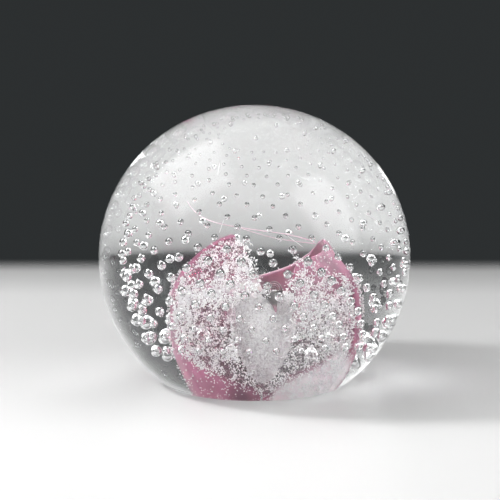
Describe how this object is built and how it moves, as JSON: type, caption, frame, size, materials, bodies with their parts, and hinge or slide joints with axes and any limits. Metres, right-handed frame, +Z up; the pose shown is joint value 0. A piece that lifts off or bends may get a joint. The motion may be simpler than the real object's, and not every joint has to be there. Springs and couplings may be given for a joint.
{
  "type": "paperweight",
  "caption": "Clear glass ball paperweight with a ground flat base, a shell of air bubbles, a lobed pink veil, white glass chips and a pulled thread.",
  "frame": {"origin": "middle of the ground base, on the surface that it stands on", "axes": "+Z up through the crown, -Y towards the front, where the white cone shows between the lobes, +X to the right seen from the front"},
  "size_m": [0.08, 0.08, 0.0708],
  "materials": {
    "clear_glass": "fire-polished, with a ground and polished base",
    "pink_glass": "opal, streaked where it was pulled",
    "white_chips": "crushed white glass, melted in",
    "grey_glass": "clear grey"
  },
  "bodies": {
    "root": {"outer_casing": "clear_glass", "bubble_gather": "clear_glass", "core_gather": "clear_glass", "veil_left_lobe": "pink_glass", "veil_right_lobe": "pink_glass", "chips_left_lobe": "white_chips", "chips_right_lobe": "white_chips", "chip_cone": "white_chips", "twist_coil": "grey_glass", "pulled_thread": "pink_glass"}
  },
  "joints": []
}
